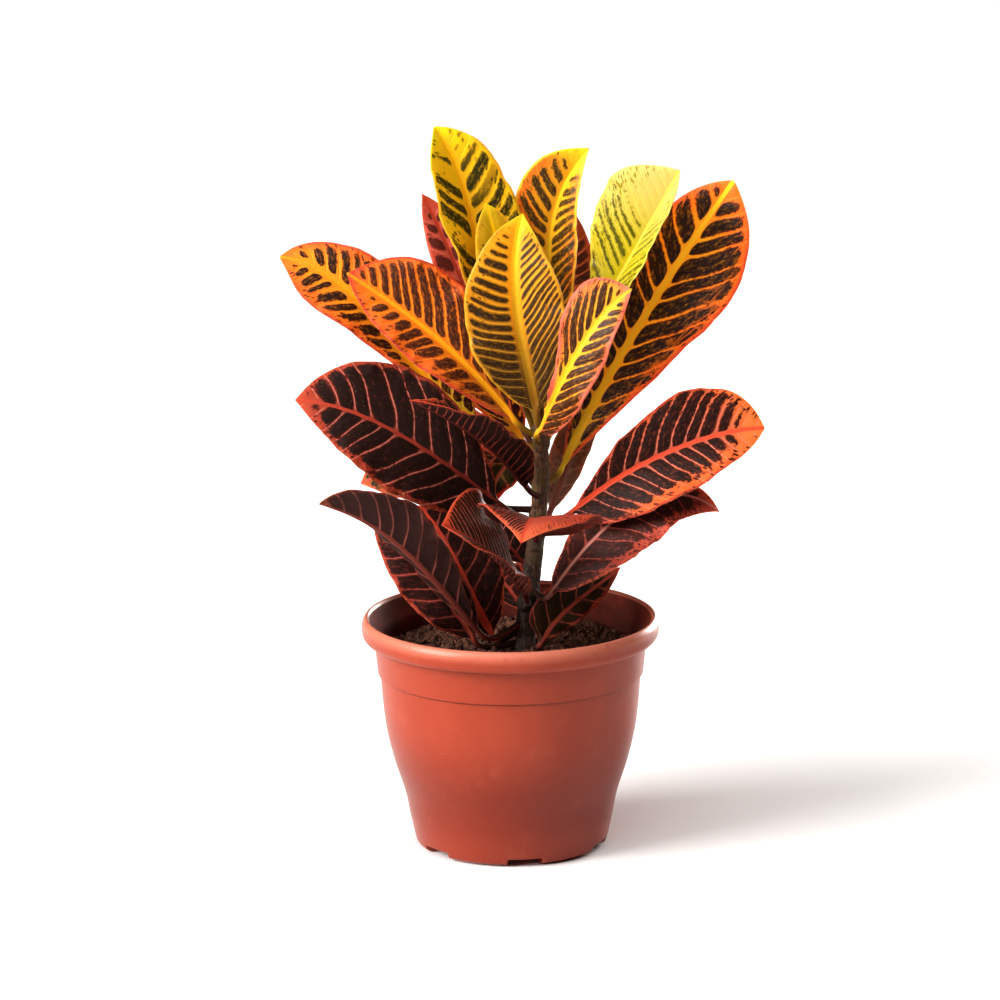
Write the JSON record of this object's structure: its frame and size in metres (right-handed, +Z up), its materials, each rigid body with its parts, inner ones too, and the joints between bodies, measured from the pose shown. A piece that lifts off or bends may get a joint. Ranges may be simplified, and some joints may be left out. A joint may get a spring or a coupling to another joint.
{
  "type": "potted houseplant",
  "caption": "Potted croton: a tapered plastic nursery pot with a rolled rim, filled with potting mix, and an upright woody stem with long variegated leaves around it.",
  "frame": {"origin": "on the floor, on the small flat boss in the middle of the pot's underside", "axes": "+Z up along the pot's axis, -Y towards the viewer of the picture, +X to that viewer's right"},
  "size_m": [0.2262, 0.1932, 0.3393],
  "materials": {
    "pot_plastic": "smooth moulded terracotta-red plastic with a soft gloss",
    "potting_mix": "dark damp mix of peat and bark",
    "bark": "brown woody stem with leaf scars",
    "young_leaf": "glossy yellow and dark green leaf",
    "grown_leaf": "glossy orange-veined dark leaf",
    "old_leaf": "glossy dark maroon leaf with red veins and margin"
  },
  "bodies": {
    "root": {"pot": "pot_plastic", "potting_mix": "potting_mix", "stem": "bark", "leaf_top_left": "young_leaf", "leaf_bud": "young_leaf", "leaf_centre": "young_leaf", "leaf_top_middle": "young_leaf", "leaf_top_middle_back": "grown_leaf", "leaf_top_right": "young_leaf", "leaf_right_upper": "grown_leaf", "leaf_small_front": "grown_leaf", "leaf_left_upper_front": "grown_leaf", "leaf_left_upper": "grown_leaf", "leaf_left_middle": "old_leaf", "leaf_front_left": "old_leaf", "leaf_right_middle": "old_leaf", "leaf_front": "old_leaf", "leaf_left_folded": "old_leaf", "leaf_left_lower": "old_leaf", "leaf_left_low_inner": "old_leaf", "leaf_left_low_outer": "old_leaf", "leaf_right_lower": "old_leaf", "leaf_right_low": "old_leaf", "leaf_left_behind": "old_leaf", "leaf_small_behind": "old_leaf", "leaf_top_left_back": "old_leaf", "leaf_right_behind": "old_leaf", "leaf_back_high": "grown_leaf", "leaf_back_left_high": "grown_leaf", "leaf_back_right_high": "grown_leaf", "leaf_back_left_middle": "old_leaf", "leaf_back_left_low": "old_leaf", "leaf_back_right_low": "old_leaf", "leaf_back_low": "old_leaf"}
  },
  "joints": []
}
